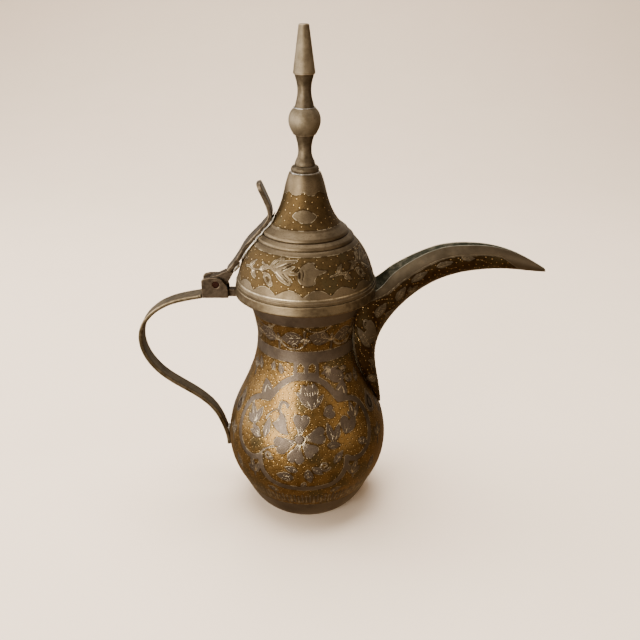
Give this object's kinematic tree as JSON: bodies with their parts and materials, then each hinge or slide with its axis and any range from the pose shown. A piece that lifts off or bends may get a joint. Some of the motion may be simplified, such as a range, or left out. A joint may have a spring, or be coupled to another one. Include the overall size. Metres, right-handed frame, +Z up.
{
  "type": "dallah coffee pot",
  "caption": "Small spun metal coffee pot with a pear-shaped belly, sickle spout, strap handle and hinged domed lid with a tall turned finial and a thumb lever.",
  "frame": {"origin": "centre of the flat foot, on the pot's axis", "axes": "+Z up the pot's axis, +X towards the spout's tip, +Y completes the right-handed frame; the hinge and handle are at -X"},
  "size_m": [0.1672, 0.0686, 0.2],
  "materials": {
    "engraved_metal": "aged, tinned and engraved",
    "aged_metal": "aged satin",
    "rusted_pin": "rusty",
    "solder": "dull tin solder"
  },
  "bodies": {
    "pot": {"belly_shell": "engraved_metal", "base_plate": "aged_metal", "neck_shell": "engraved_metal", "mouth_collar": "aged_metal", "spout_trough": "engraved_metal", "handle_strap": "aged_metal", "handle_solder": "solder", "hinge_bracket": "aged_metal", "hinge_pin": "rusted_pin"},
    "lid": {"lid_shell": "engraved_metal", "lid_bezel": "aged_metal", "finial_foot_ring": "aged_metal", "finial_lower_spindle": "aged_metal", "finial_ball": "aged_metal", "finial_upper_spindle": "aged_metal", "finial_tip": "aged_metal", "finial_washer": "aged_metal", "finial_rod": "aged_metal", "thumb_lever": "aged_metal", "lever_solder": "solder", "hinge_knuckle": "aged_metal"}
  },
  "joints": [
    {"name": "lid_hinge", "type": "hinge", "parent": "pot", "child": "lid", "pos_m": [-0.0364, 0, 0.1019], "axis": [0, -1, 0], "range_deg": [0, 105]}
  ]
}
